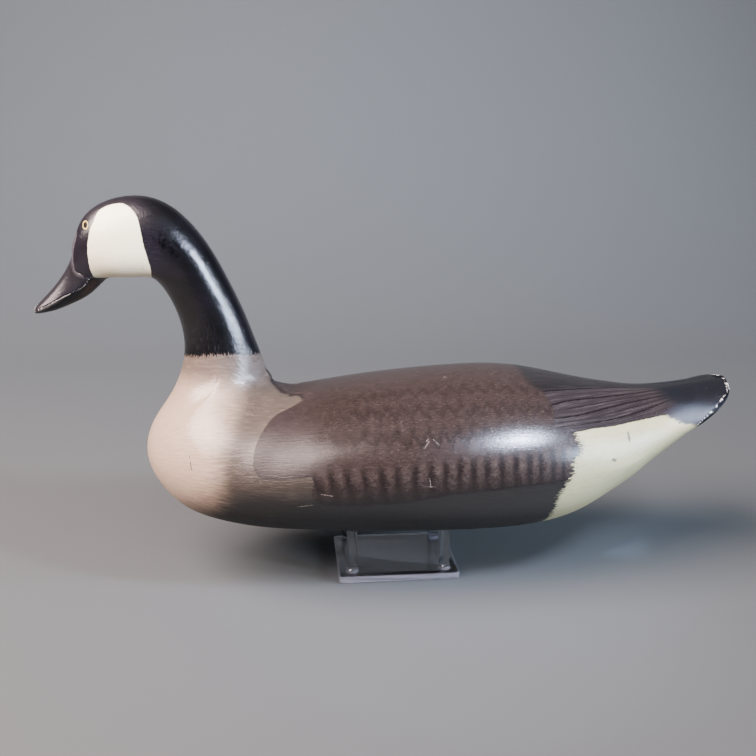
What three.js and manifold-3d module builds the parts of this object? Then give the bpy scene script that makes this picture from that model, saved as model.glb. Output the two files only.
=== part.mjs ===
// Goose decoy, carved in wood and painted, lying on a clear moulded stand with four posts.
// Millimetres, +Z up. The bill points to -X, the tail to +X. The origin is on the ground, under the
// middle of the whole object's box.

import * as THREE from 'three';
import { mergeVertices } from 'three/addons/utils/BufferGeometryUtils.js';
import Module from 'manifold-3d';

// Driving dimensions of the bird
const birdLength = 664; // bill tip to tail tip
const bodyWidth = 230;
const neckWidth = 57;
const headWidth = 62;
const billWidth = 33;
const tailWidth = 104;
const tailFan = 49; // length of the rounded end of the tail
const fanFullness = 2.2; // 2 is an oval end, more is squarer
const billRound = 9; // length of the rounded end of the bill
const faceEdge = 1.4; // height of the raised edge of the face around the bill
const mandibleInset = 1.3; // how far the lower mandible stands in under the upper one

// Driving dimensions of the stand
const plateLength = 117;
const plateWidth = 102.5;
const plateThickness = 6.3;
const plateCorner = 4;
const plateBevel = 0.8;
const postHeight = 44; // above the plate
const postInset = 13.5; // from the plate's edges to a post's middle
const postTopDiameter = 9.5;
const postFootDiameter = 12;
const postFootHeight = 3;
const postFootTaper = 1; // height over which the foot narrows to the post
const postEdge = 0.6; // rounding of a post's top edge
const restGap = 0.3; // between the belly and the tops of the posts

// Fineness of the carved surface
const ringSteps = 10; // steps on the upper and on the lower part of half a cut
const rowStep = 14; // distance between cuts
const endRows = 6; // cuts on a rounded end
const outlineSteps = 90; // steps with which a cut's outline is measured
const mandibleStep = 0.03; // first step of a cut's lower part, as a share of it
const seatSamples = 16; // places round a post's top at which the belly is measured
const seatPasses = 4; // times the bird is turned to lie level
const postSides = 20;

// Half widths that the cuts are shares of
const tail = tailWidth / 2;
const body = bodyWidth / 2;
const neck = neckWidth / 2;
const head = headWidth / 2;
const bill = billWidth / 2;

// Places of the posts
const postX = plateLength / 2 - postInset;
const postY = plateWidth / 2 - postInset;

// Forms of a cut. A cut is the trunk's oval and the neck's oval melted together.
// widest: height of an oval's widest place, as a share of the oval
// crown, sole: fullness above and below it: 2 is an oval, more is squarer, less is more pointed
// edge: sharpness of the side, from 0, round, to 1, a sharp rim
// crest, slope: share of the cut that the trunk's oval reaches up to, and its own crown
// base: share of the cut at which the neck's oval starts
// bow: how far the cut bends forward at its middle, in thousandths of the length
const oval = { widest: 0.46, crown: 2, sole: 2, edge: 0, crest: 1, slope: 2, base: 0, bow: 0 };
const rim = { ...oval, widest: 0.42, edge: 0.4 };
const rump = { ...oval, widest: 0.42, edge: 0.1 };
const haunch = { ...oval, widest: 0.47, sole: 2.5 };
const trunk = { ...oval, widest: 0.47, sole: 2.2 };
const breast = { ...oval, sole: 1.9 };
const throat = { ...oval, widest: 0.5, crown: 2.1, sole: 2.1, crest: 0.4 };
const cheek = { ...oval, widest: 0.45, crown: 2.2, sole: 3.5, crest: 0.4 };
const beak = { ...oval, widest: 0.3, crown: 2.1, edge: 0.1, crest: 0.4 };

// Cuts across the bird, from the tail to the bill: the end on the top line and the end on the
// under line, as [along, up] in thousandths of the length from the middle of the stand and from
// the keel, then half the trunk's width, half the neck's width and the form
const cuts = [
  [[500, 197], [500, 191], tail * 0.87, 0, rim],
  [[470, 193], [470, 156], tail * 0.95, 0, rim],
  [[430, 189], [430, 118], tail * 1.04, 0, rump],
  [[376, 187], [376, 77], tail * 1.23, 0, rump],
  [[316, 193], [316, 42], body * 0.695, 0, rump],
  [[248, 207], [248, 13], body * 0.83, 0, haunch],
  [[181, 221], [181, 0], body * 0.92, 0, haunch],
  [[91, 223], [91, -1], body * 0.98, 0, haunch],
  [[0, 217], [0, -2], body, 0, trunk],
  [[-75, 209], [-75, -2], body * 0.99, 0, breast],
  [[-132, 201], [-139, 3], body * 0.96, 0, breast],
  [[-149, 201], [-202, 8], body * 0.91, neck * 0.5, breast, { slope: 1.95, base: 0.6 }],
  [[-159, 204], [-259, 19], body * 0.85, neck * 0.85, breast, { slope: 1.8, base: 0.56 }],
  [[-166, 208], [-301, 34], body * 0.79, neck, breast, { slope: 1.6, base: 0.5 }],
  [[-172, 214], [-341, 72], body * 0.71, neck * 1.05, breast, { crest: 0.98, slope: 1.4, base: 0.42 }],
  [[-177, 222], [-359, 115], body * 0.58, neck * 1.1, breast, { crest: 0.94, slope: 1.25, base: 0.32 }],
  [[-182, 231], [-348, 159], body * 0.4, neck * 1.15, breast, { crest: 0.86, slope: 1.2, base: 0.2 }],
  [[-186, 241], [-325, 192], body * 0.18, neck * 1.15, throat, { crest: 0.7, slope: 1.2, base: 0.08 }],
  [[-191, 256], [-305, 230], 0, neck * 1.12, throat, { crest: 0.4, slope: 1.3 }],
  [[-200, 282], [-297, 263], 0, neck * 1.05, throat],
  [[-212, 316], [-301, 305], 0, neck * 0.99, throat],
  [[-228, 353], [-313, 337], 0, neck * 0.97, throat],
  [[-251, 400], [-329, 361], 0, neck * 0.98, throat],
  [[-284, 446], [-340, 369], 0, head * 0.95, cheek],
  [[-328, 476], [-351, 369], 0, head, cheek],
  [[-373, 478], [-363, 369], 0, head, cheek],
  [[-407, 466], [-377, 369], 0, head * 0.94, cheek, { bow: 5 }],
  [[-429, 444], [-390, 369], 0, bill * 1.35, cheek, { bow: 14 }],
  [[-435, 426], [-398, 366], 0, bill * 1.14, beak, { bow: 20 }],
  [[-444, 398], [-418, 348], 0, bill * 0.98, beak, { bow: 10 }],
  [[-463, 366], [-446, 333], 0, bill * 0.95, beak, { bow: 4 }],
  [[-485, 342], [-474, 323], 0, bill * 0.98, beak],
  [[-500, 328], [-498, 320], 0, bill * 0.9, beak],
];
const faceEdgeCut = 28; // the cut at which the bill begins
const melt = 2.2; // how tightly the two ovals join: less is a wider hollow

// Natural cubic spline through values at the given stations
function spline(stations, values) {
  const count = stations.length;
  const bend = new Array(count).fill(0);
  const carry = new Array(count).fill(0);
  for (let i = 1; i < count - 1; i++) {
    const before = stations[i] - stations[i - 1];
    const after = stations[i + 1] - stations[i];
    const turn = (values[i + 1] - values[i]) / after - (values[i] - values[i - 1]) / before;
    const pivot = 2 * (before + after) - before * carry[i - 1];
    carry[i] = after / pivot;
    bend[i] = (6 * turn - before * bend[i - 1]) / pivot;
  }
  for (let i = count - 2; i > 0; i--) bend[i] -= carry[i] * bend[i + 1];
  return (where) => {
    let i = 0;
    while (i < count - 2 && where > stations[i + 1]) i++;
    const span = stations[i + 1] - stations[i];
    const b = (where - stations[i]) / span;
    const a = 1 - b;
    const sag = ((a ** 3 - a) * bend[i] + (b ** 3 - b) * bend[i + 1]) * span ** 2 / 6;
    return a * values[i] + b * values[i + 1] + sag;
  };
}

// The bird's lines: each value of a cut as a smooth function of the place along the bird
function carvingLines() {
  const share = birdLength / 1000;
  const tops = cuts.map(([top]) => new THREE.Vector2(...top).multiplyScalar(share));
  const unders = cuts.map(([, under]) => new THREE.Vector2(...under).multiplyScalar(share));
  const stations = [0];
  for (let i = 1; i < cuts.length; i++) {
    const step = Math.max(tops[i].distanceTo(tops[i - 1]), unders[i].distanceTo(unders[i - 1]));
    stations.push(stations[i - 1] + step);
  }
  const through = (value) => spline(stations, cuts.map(value));
  const lines = {
    topX: spline(stations, tops.map(({ x }) => x)),
    topZ: spline(stations, tops.map(({ y }) => y)),
    underX: spline(stations, unders.map(({ x }) => x)),
    underZ: spline(stations, unders.map(({ y }) => y)),
    trunk: through((cut) => cut[2]),
    stem: through((cut) => cut[3]),
    end: stations[stations.length - 1],
    billStart: stations[faceEdgeCut],
  };
  for (const name of Object.keys(oval)) lines[name] = through((cut) => ({ ...cut[4], ...cut[5] })[name]);
  return lines;
}

// How much of the half width is left at a distance from a rounded end
function roundEnd(distance, reach, fullness) {
  const rest = Math.max(0, 1 - distance / reach);
  return (1 - rest ** fullness) ** (1 / fullness);
}

// Places along the bird: close together on the rounded ends and at the face's edge
function rowPlaces({ end, billStart }) {
  const places = [];
  const first = Math.PI / 2 / (endRows + 0.5);
  for (let i = 0; i < endRows; i++) {
    const angle = first * (i + 0.5);
    places.push(tailFan * (1 - Math.cos(angle)));
    places.push(end - billRound * (1 - Math.cos(angle)));
  }
  const stretches = [[tailFan, billStart], [billStart + faceEdge, end - billRound]];
  const steps = [rowStep, rowStep / 2];
  stretches.forEach(([from, to], k) => {
    const count = Math.ceil((to - from) / steps[k]);
    for (let i = 0; i <= count; i++) places.push(from + (to - from) * i / count);
  });
  return places.sort((a, b) => a - b);
}

// Half width of an oval at a height, both as shares
function ovalAt(height, widest, crown, sole, edge) {
  if (height >= 1 || height <= 0) return 0;
  const upper = height > widest;
  const fullness = upper ? crown : sole;
  const rise = upper ? (height - widest) / (1 - widest) : (widest - height) / widest;
  const power = (1 - edge) / Math.max(2, fullness) + edge;
  return (1 - rise ** (1 / power)) ** (1 / fullness);
}

// Points at even steps along the outline that a function gives between two heights
function evenSteps(widthAt, chord, from, to, shares) {
  const points = [];
  let length = 0;
  for (let i = 0; i <= outlineSteps; i++) {
    const height = from + (to - from) * Math.sin(Math.PI / 2 * i / outlineSteps);
    const out = widthAt(height);
    const last = points[points.length - 1];
    if (last) length += Math.hypot(out - last.out, (height - last.height) * chord);
    points.push({ height, out, length });
  }
  return shares.map((share) => {
    const target = share * length;
    const k = Math.max(1, points.findIndex((point) => point.length >= target - 1e-9));
    const [a, b] = [points[k - 1], points[k]];
    const part = (target - a.length) / (b.length - a.length);
    return { height: a.height + (b.height - a.height) * part, out: a.out + (b.out - a.out) * part };
  });
}

// Half width of a cut at a height, made narrower by the inset
function widthOf(cut, ends, inset) {
  const { widest, crown, sole, edge, slope, crest, base } = cut;
  const trunkHalf = Math.max(0, cut.trunk);
  const stemHalf = Math.max(0, cut.stem - inset);
  return (height) => {
    const trunkPart = trunkHalf * ovalAt(height / crest, widest, slope, sole, edge);
    const stemPart = stemHalf * ovalAt((height - base) / (1 - base), widest, crown, sole, edge);
    return ends * (trunkPart ** melt + stemPart ** melt) ** (1 / melt);
  };
}

// Half of a cut, from the top to the underside. On the bill the lower mandible stands in under
// the upper one, with two points close together at the widest place.
function halfCut(lines, place) {
  const cut = Object.fromEntries(Object.keys(oval).map((name) => [name, lines[name](place)]));
  cut.trunk = lines.trunk(place);
  cut.stem = lines.stem(place);
  cut.edge = Math.max(0, cut.edge);
  cut.crest = Math.min(1, cut.crest);
  cut.base = Math.max(0, cut.base);
  const ends = roundEnd(place, tailFan, fanFullness) * roundEnd(lines.end - place, billRound, 2);
  const top = new THREE.Vector2(lines.topX(place), lines.topZ(place));
  const under = new THREE.Vector2(lines.underX(place), lines.underZ(place));
  const chord = top.clone().sub(under);
  const forward = new THREE.Vector2(-chord.y, chord.x).normalize();
  const shares = [];
  for (let i = 0; i <= ringSteps; i++) shares.push(i / ringSteps);
  const lowShares = [mandibleStep, ...shares.slice(1)];
  const onBill = place > lines.billStart;
  const inset = onBill ? faceEdge : 0;
  const lowInset = onBill ? faceEdge + mandibleInset : 0;
  const side = cut.widest * (cut.trunk > cut.stem ? cut.crest : 1);
  const upper = evenSteps(widthOf(cut, ends, inset), chord.length(), side, 1, shares).reverse();
  const lower = evenSteps(widthOf(cut, ends, lowInset), chord.length(), side, 0, lowShares);
  return [...upper, ...lower].map(({ height, out }) => {
    const sink = inset * Math.max(0, (height - cut.widest) / (1 - cut.widest));
    const bend = cut.bow * birdLength / 1000 * 4 * height * (1 - height) - sink;
    const at = under.clone().addScaledVector(chord, height).addScaledVector(forward, bend);
    return [at.x, out, at.y];
  });
}

function birdGeometry() {
  const lines = carvingLines();
  const places = rowPlaces(lines);
  const points = [];
  for (const place of places) {
    const half = halfCut(lines, place);
    const mirrored = half.slice(1, -1).reverse().map(([x, y, z]) => [x, -y, z]);
    points.push(...half.flat(), ...mirrored.flat());
  }
  const size = 4 * ringSteps + 2;
  const faces = [];
  for (let row = 0; row < places.length - 1; row++) {
    for (let k = 0; k < size; k++) {
      const a = row * size + k;
      const b = row * size + (k + 1) % size;
      faces.push(a, b, b + size, a, b + size, a + size);
    }
  }
  for (const [row, turned] of [[0, true], [places.length - 1, false]]) {
    const centre = points.length / 3;
    const mid = [0, 1, 2].map((axis) => {
      let sum = 0;
      for (let k = 0; k < size; k++) sum += points[(row * size + k) * 3 + axis];
      return sum / size;
    });
    points.push(...mid);
    for (let k = 0; k < size; k++) {
      const a = row * size + k;
      const b = row * size + (k + 1) % size;
      if (turned) faces.push(centre, b, a);
      else faces.push(centre, a, b);
    }
  }
  const geometry = new THREE.BufferGeometry();
  geometry.setAttribute('position', new THREE.Float32BufferAttribute(points, 3));
  geometry.setIndex(faces);
  return geometry;
}

// Height of the belly over the top of a post at +x, +y: the lowest place over its disc
function bellyOver(geometry, x, y) {
  const belly = new THREE.Mesh(geometry, new THREE.MeshBasicMaterial({ side: THREE.DoubleSide }));
  const up = new THREE.Vector3(0, 0, 1);
  let lowest = Infinity;
  for (let i = 0; i < seatSamples; i++) {
    const angle = 2 * Math.PI * i / seatSamples;
    const reach = postTopDiameter / 2;
    const from = new THREE.Vector3(x + reach * Math.cos(angle), y + reach * Math.sin(angle), -birdLength);
    const [hit] = new THREE.Raycaster(from, up).intersectObject(belly);
    lowest = Math.min(lowest, hit.point.z);
  }
  return lowest;
}

// Turns and lifts the bird until its belly lies on all four posts
function seat(geometry, seatHeight) {
  for (let i = 0; i < seatPasses; i++) {
    const rise = bellyOver(geometry, postX, postY) - bellyOver(geometry, -postX, postY);
    geometry.rotateY(Math.atan2(rise, 2 * postX));
  }
  const lowest = Math.min(bellyOver(geometry, postX, postY), bellyOver(geometry, -postX, postY));
  return geometry.translate(0, 0, seatHeight + restGap - lowest);
}

function plateGeometry() {
  const x = plateLength / 2 - plateBevel;
  const y = plateWidth / 2 - plateBevel;
  const r = plateCorner - plateBevel;
  const outline = new THREE.Shape();
  outline.absarc(x - r, y - r, r, 0, Math.PI / 2);
  outline.absarc(-x + r, y - r, r, Math.PI / 2, Math.PI);
  outline.absarc(-x + r, -y + r, r, Math.PI, 1.5 * Math.PI);
  outline.absarc(x - r, -y + r, r, 1.5 * Math.PI, 2 * Math.PI);
  outline.closePath();
  return new THREE.ExtrudeGeometry(outline, {
    depth: plateThickness - 2 * plateBevel,
    bevelThickness: plateBevel,
    bevelSize: plateBevel,
    bevelSegments: 2,
    curveSegments: 5,
  }).translate(0, 0, plateBevel);
}

function postGeometry() {
  const foot = postFootDiameter / 2;
  const top = postTopDiameter / 2;
  const sunk = plateThickness / 2;
  const profile = [
    [0, sunk], [foot, sunk], [foot, plateThickness + postFootHeight],
    [(foot + top) / 2, plateThickness + postFootHeight + postFootTaper],
    [top, plateThickness + postHeight - postEdge],
    [top - postEdge, plateThickness + postHeight], [0, plateThickness + postHeight],
  ];
  const points = profile.map(([radius, height]) => new THREE.Vector2(radius, height));
  return new THREE.LatheGeometry(points, postSides).rotateX(Math.PI / 2);
}

const wasm = await Module();
wasm.setup();

function solid(geometry) {
  const bare = geometry.clone();
  bare.deleteAttribute('normal');
  bare.deleteAttribute('uv');
  const merged = mergeVertices(bare);
  return new wasm.Manifold(new wasm.Mesh({
    numProp: 3,
    vertProperties: Float32Array.from(merged.attributes.position.array),
    triVerts: Uint32Array.from(merged.index.array),
  }));
}

function meshFrom(manifold) {
  const { vertProperties, triVerts } = manifold.getMesh();
  const geometry = new THREE.BufferGeometry();
  geometry.setAttribute('position', new THREE.BufferAttribute(vertProperties, 3));
  geometry.setIndex(new THREE.BufferAttribute(triVerts, 1));
  return geometry;
}

function standGeometry() {
  let stand = solid(plateGeometry());
  for (const x of [-1, 1]) {
    for (const y of [-1, 1]) {
      const post = postGeometry().translate(x * postX, y * postY, 0);
      stand = stand.add(solid(post));
    }
  }
  return meshFrom(stand);
}

function piece(name, geometry, finish) {
  geometry.computeVertexNormals();
  const mesh = new THREE.Mesh(geometry, new THREE.MeshStandardMaterial(finish));
  mesh.name = name;
  return mesh;
}

const paintedWood = { color: '#6b5750', roughness: 0.45, metalness: 0 };
const clearAcrylic = { color: '#dfe6ea', roughness: 0.05, metalness: 0, transparent: true, opacity: 0.35 };

const decoy = new THREE.Group();
const bird = seat(birdGeometry(), plateThickness + postHeight);
decoy.add(piece('goose', bird, paintedWood));
decoy.add(piece('display_stand', standGeometry(), clearAcrylic));

// The origin goes under the middle of the box
const middle = new THREE.Box3().setFromObject(decoy).getCenter(new THREE.Vector3());
decoy.position.set(-middle.x, -middle.y, 0);

export default decoy;
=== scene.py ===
"""Looks of a carved and painted goose decoy on a clear display stand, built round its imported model."""

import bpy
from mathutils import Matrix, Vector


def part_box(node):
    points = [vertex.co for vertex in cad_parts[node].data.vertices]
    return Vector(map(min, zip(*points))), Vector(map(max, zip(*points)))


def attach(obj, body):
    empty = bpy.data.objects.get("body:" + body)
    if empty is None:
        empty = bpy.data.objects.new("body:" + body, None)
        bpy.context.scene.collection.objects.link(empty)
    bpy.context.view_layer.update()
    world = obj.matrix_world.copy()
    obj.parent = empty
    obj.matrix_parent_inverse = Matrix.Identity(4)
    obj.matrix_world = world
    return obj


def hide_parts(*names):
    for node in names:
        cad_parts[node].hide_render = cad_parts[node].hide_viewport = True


bl_info = {
    "name": "Goose Decoy",
    "version": (1, 0, 0),
    "blender": (4, 5, 0),
    "location": "View3D > Sidebar > Decoy",
    "description": "Carved and painted goose decoy on a clear stand, with its studio",
    "category": "Object",
}

import math

import bpy
import numpy as np
from mathutils import Euler, Vector

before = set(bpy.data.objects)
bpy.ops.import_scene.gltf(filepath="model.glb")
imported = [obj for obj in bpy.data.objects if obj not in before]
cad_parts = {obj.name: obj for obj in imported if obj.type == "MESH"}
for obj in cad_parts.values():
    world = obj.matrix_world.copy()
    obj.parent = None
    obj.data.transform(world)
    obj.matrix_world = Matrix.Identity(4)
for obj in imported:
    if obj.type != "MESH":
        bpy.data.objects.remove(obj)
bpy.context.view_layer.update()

MM = 0.001
FACING = 0.9  # share of a face's normal along an axis from which the face looks that way


def linear(code):
    """Turns an sRGB hex value into linear red, green and blue."""
    parts = [int(code[k : k + 2], 16) / 255 for k in (1, 3, 5)]
    return tuple(p / 12.92 if p <= 0.04045 else ((p + 0.055) / 1.055) ** 2.4 for p in parts)


def colour_property(name, code, description):
    return bpy.props.FloatVectorProperty(
        name=name, description=description, subtype="COLOR", size=3, min=0, max=1, default=linear(code)
    )


def length_property(name, millimetres, description):
    return bpy.props.FloatProperty(
        name=name, description=description, unit="LENGTH", min=0, default=millimetres * MM
    )


class GoosePaint(bpy.types.PropertyGroup):
    """Colours of the bird's paint."""

    neck: colour_property("Neck", "#08080A", "Black of the head, neck and tail")
    cheek: colour_property("Cheek", "#FFF8D6", "Cream white of the cheek patch")
    bill: colour_property("Bill", "#222024", "Grey black of the upper bill")
    breast: colour_property("Breast", "#AB9480", "Beige at the front of the breast")
    shoulder: colour_property("Shoulder", "#3E362F", "Greyer beige behind the breast")
    belly: colour_property("Belly", "#131210", "Dark grey brown of the belly")
    back: colour_property("Back", "#271E1B", "Brown of the back and sides")
    bars: colour_property("Bars", "#0E0A0A", "Dark brown of the bars on the side")
    rump: colour_property("Rump", "#151313", "Dark grey above the tail")
    quills: colour_property("Quills", "#231E1F", "Purple brown of the wing quills")
    white: colour_property("White", "#9F9B77", "Creamy white under the tail")
    bare: colour_property("Bare edge", "#DEDCD6", "Pale primer that shows where the paint has worn off")
    eye: colour_property("Eye ring", "#C9B36A", "Cream yellow ring round the eye")


class StandSizes(bpy.types.PropertyGroup):
    """Sizes of the clear stand."""

    length: length_property("Plate length", 117, "Plate, along the bird")
    width: length_property("Plate width", 102.5, "Plate, across the bird")
    thickness: length_property("Plate thickness", 6.3, "Thickness of the plate")
    corner: length_property("Corner radius", 4, "Radius of the plate's corners")
    edge: length_property("Edge round", 0.8, "Round along the plate's edges")
    post: length_property("Post height", 44, "Posts, over the plate")
    inset: length_property("Post inset", 13.5, "From the plate's edges to a post's middle")
    foot: length_property("Foot diameter", 12, "Diameter of a post's foot")
    foot_height: length_property("Foot height", 3, "Height of a post's foot")
    top: length_property("Top diameter", 9.5, "Diameter of a post at its top")


class StudioLook(bpy.types.PropertyGroup):
    """Floor and light of the studio."""

    floor: colour_property("Floor", "#484C4D", "Pale grey of the floor and backdrop")
    ambient: bpy.props.FloatProperty(
        name="Ambient", description="Strength of the even light from all round", min=0, default=0.1
    )


# The bird's axis, in millimetres: its height, how much higher it is at the tail, and where it starts
# to rise and over what length. The drum round it has this radius.
AXIS_HEIGHT, AXIS_RISE, RISE_START, RISE_LENGTH, DRUM_RADIUS = 118, 58, 150, 180, 100

# Where the paint changes, in millimetres: along is from the middle towards the tail, and round is
# the way down from the top line over a side, on the drum round the bird's axis.
NOTCH = [(-121, 0), (-119, 10), (-115, 15), (-110, 29), (-105, 32), (-98.5, 37), (-94, 34), (-89, 48.4)]
LOBE = [
    (-89, 49.5), (-94, 58), (-99, 65), (-104.4, 71), (-115.4, 83), (-123.6, 98), (-130, 113), (-133, 123),
    (-134.6, 133), (-133.7, 142), (-130.3, 147.7), (-126, 149.7), (-116, 150.6), (-107, 149.9),
    (-84.5, 146.9),
]
SIDE_FRONT = [(-84.3, 147), (-82, 151), (-83.5, 158), (-83, 165), (-78.7, 168)]
SIDE_LOW = [
    (-78.7, 168), (-66, 170.5), (-49, 171), (-26, 171), (0, 169.4), (24, 165.8), (55, 163.2), (140, 160.6),
]
SIDE_REAR = [
    (140.6, 160.6), (146.4, 159.5), (151.3, 156), (153, 151), (155, 143.6), (160, 129.4), (161, 121),
]
WHITE_EDGE = [
    (156, 112), (158, 121.4), (162, 128.8), (159.4, 137.4), (154, 142.6), (152.7, 154.5), (148, 160.7),
    (144, 168), (138.5, 179), (137.8, 192), (133.4, 215), (128, 260), (126, 345),
]
RUMP_EDGE = [(118, -30), (118.3, 27), (118.6, 41), (122.6, 55.6), (129.8, 63.7)]
QUILL_ENDS = [(129.8, 63.7), (134.8, 73), (137, 81.7), (138, 91), (137, 102.7), (134.2, 113)]
QUILL_LOW = [
    (134.2, 113), (139.7, 115.5), (152.5, 116), (167, 115.4), (181, 115.7), (217.6, 126), (243.7, 141),
    (255, 149.3),
]
TAIL_SIDE = [(255, 149.3), (261, 161), (268.4, 173), (276.4, 182.7), (282.7, 189.5), (287, 215), (288, 345)]
TAIL_TOP = [(228, -30), (230, 8), (246, 34), (251, 80), (253.5, 118), (258.5, 140), (255, 150)]
# the edge of the belly's dark paint, drawn up under the breast and the lobe to paint in their shade
BELLY_AND_SHADE_EDGE = [
    (-215, 345), (-210, 205), (-195, 174), (-180, 154), (-165, 139), (-150, 132), (-130, 128), (-90, 126),
    (-80, 112), (0, 100), (150, 95),
]
# the dark lines between the quills, from the top one down
QUILL_LINES = [
    [(125, 66), (148, 60), (171, 48), (200, 35), (228, 29), (260, 26)],
    [(134, 87.5), (148, 80), (160, 75), (171, 71), (193, 67.7), (217, 64.3), (246, 60.7)],
    [(136, 101), (152, 100), (163, 97), (177, 94), (194, 91), (212, 90), (226, 91), (241, 94)],
    [(139, 111), (158, 109), (185, 108.7), (207, 111.6), (230, 118), (253, 123), (265, 127)],
    [(132, 115), (146, 117), (173, 114.6), (189, 117), (205, 121), (227, 131), (244, 140), (254, 147)],
]
# the gaps between the bars, along the side
BARS = [
    -93, -79.3, -65.4, -51, -36, -21, -8, 8, 21.3, 34.6,
    47, 60, 72, 85.8, 98.3, 111.4, 121.4, 134, 143.6, 155,
]

# Where the paint changes on the head, in millimetres, along and up, and the places painted on it.
CHEEK_EDGE = [
    (-274, 294), (-276, 302), (-276.5, 312), (-276.3, 322.5), (-274, 334), (-270.3, 344), (-266, 352),
    (-259, 357), (-247, 359.3), (-239.4, 357), (-232, 349.5), (-229, 340), (-226.4, 325), (-223.4, 310),
    (-221.4, 302.7), (-221.8, 293.3),
]
CHIN = [(-222, 280), (-257, 280), (-260.5, 292.4), (-272, 292.8)]
FACE_EDGE = [
    (-286, 338), (-287, 329.6), (-289.6, 317.3), (-290.2, 306.6), (-288.4, 298.4), (-280.3, 295),
    (-276, 293.6),
]
GROOVE = [
    (-262, 292.6), (-276.4, 292.9), (-281.8, 287), (-288.4, 282.5), (-295.5, 279), (-303.3, 275.6),
    (-313, 270.2), (-320.7, 266.6), (-326, 263.8), (-345, 253),
]
EYE = (-277.7, 340.4)
EYE_HALF = (2.85, 3.75)  # half of its length and height
BILL_TIP = (-331.5, 0, 262)

# The dark smudge behind the cheek: the turn that levels it, and then where its middle is.
SMUDGE_TURN = math.radians(-38)
SMUDGE = Euler((0, SMUDGE_TURN, 0)).to_matrix() @ Vector((-204, 0, 323.5))
SMUDGE_HALF = (19, 8)  # half of its length and height

# The tail's rim from its tip round one side, in millimetres: along, across and up.
TAIL_RIM = [
    (331.5, 0, 183.5), (331.3, 3.4, 183), (323.9, 32.6, 175.4), (309.5, 46.4, 166.5), (293, 52.6, 153.8),
    (286, 50.5, 147.5),
]

# Scratches and nicks on the near side: along and round at both ends, and half the width.
PALE_SCRATCHES = [
    (16, 126.5, 20.5, 121, 0.55), (18, 121, 20.5, 118, 0.4), (24, 119, 29, 124, 0.35),
    (44.4, 30.3, 47, 30.6, 0.9), (19.4, 150, 20.2, 157, 0.4), (15, 156, 24, 156.6, 0.3),
    (-76, 160.5, -66, 162, 0.4), (-96, 172, -82, 169.5, 0.4),
]
DARK_SCRATCHES = [
    (-191.5, 126.3, -190.6, 131, 0.5), (-190.4, 134, -189.4, 143.4, 0.85), (-104.3, 63.6, -103.6, 64.4, 0.9),
    (-79.5, 109, -73, 107.4, 0.45), (212.2, 136, 212.7, 147, 1.9), (212.6, 141, 212.8, 145, 2.6),
    (193.5, 155, 196.5, 158, 2.3), (107.5, 113, 110, 117, 0.5),
]


def curve_through(points, steps=5):
    """Places along a smooth curve through the given ones."""
    p = np.array([points[0], *points, points[-1]], float)
    t = np.linspace(0, 1, steps, endpoint=False)[:, None]
    runs = []
    for a, b, c, d in zip(p, p[1:], p[2:], p[3:]):
        bend = (2 * a - 5 * b + 4 * c - d) * t + (3 * b - a - 3 * c + d) * t * t
        runs.append(b + ((c - a) + bend) * t / 2)
    return np.vstack([*runs, p[-1:]])


def depth_inside(places, outline):
    """Distance from each place to a closed outline, more than 0 inside it."""
    start = np.array(outline, float)
    end = np.roll(start, -1, axis=0)
    keep = np.abs(end - start).sum(axis=1) > 1e-6  # where two curves meet, a point stands twice
    start, end = start[keep], end[keep]
    near = np.full(len(places), np.inf)
    inside = np.zeros(len(places), bool)
    x, y = places[:, 0], places[:, 1]
    for (ax, ay), (bx, by) in zip(start, end):
        ux, uy = bx - ax, by - ay
        share = np.clip(((x - ax) * ux + (y - ay) * uy) / (ux * ux + uy * uy), 0, 1)
        near = np.minimum(near, np.hypot(x - ax - share * ux, y - ay - share * uy))
        if ay != by:
            inside ^= ((ay > y) != (by > y)) & (x < ax + (y - ay) * ux / uy)
    return np.where(inside, near, -near)


def outlines():
    """The closed outline of each coat of paint, and whether it lies on the head's side view."""
    # the curves that follow each other, then the corners beyond the bird that close the outline
    back = (NOTCH, LOBE, SIDE_FRONT, SIDE_LOW, SIDE_REAR)
    tail = (RUMP_EDGE, QUILL_ENDS, QUILL_LOW, TAIL_SIDE)
    rows = (
        ("back", back, [(161, 100), (150, 60), (150, -30), (-122, -30)], False),
        ("white", (WHITE_EDGE,), [(350, 345), (350, 100)], False),
        ("tail", tail, [(350, 345), (350, -30)], False),
        ("tail_tip", (TAIL_TOP,), [(260, 345), (350, 345), (350, -30)], False),
        ("belly", (BELLY_AND_SHADE_EDGE,), [(200, 140), (200, 345)], False),
        ("cheek", (CHEEK_EDGE,), CHIN, True),
        ("bill", (FACE_EDGE,), [(-262, 292.6), (-262, 240), (-350, 240), (-350, 338)], True),
        ("mandible", (GROOVE,), [(-350, 230), (-262, 230)], True),
    )
    return {
        name: (np.vstack([*map(curve_through, curves), corners]), on_head)
        for name, curves, corners, on_head in rows
    }


def tail_rim_distance(x, y, z):
    """Distance in millimetres from places to the tail's thin rim, below 0 on its underside."""
    line = np.array(TAIL_RIM)
    near, below = np.full(len(x), np.inf), np.zeros(len(x), bool)
    for a, b in zip(line, line[1:]):
        away = np.c_[x, np.abs(y), z] - a
        share = np.clip(away @ (b - a) / ((b - a) @ (b - a)), 0, 1)
        away = away - share[:, None] * (b - a)
        distance = np.linalg.norm(away, axis=1)
        below = np.where(distance < near, away[:, 2] < 0, below)
        near = np.minimum(near, distance)
    return np.where(below, -near, near)


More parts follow.
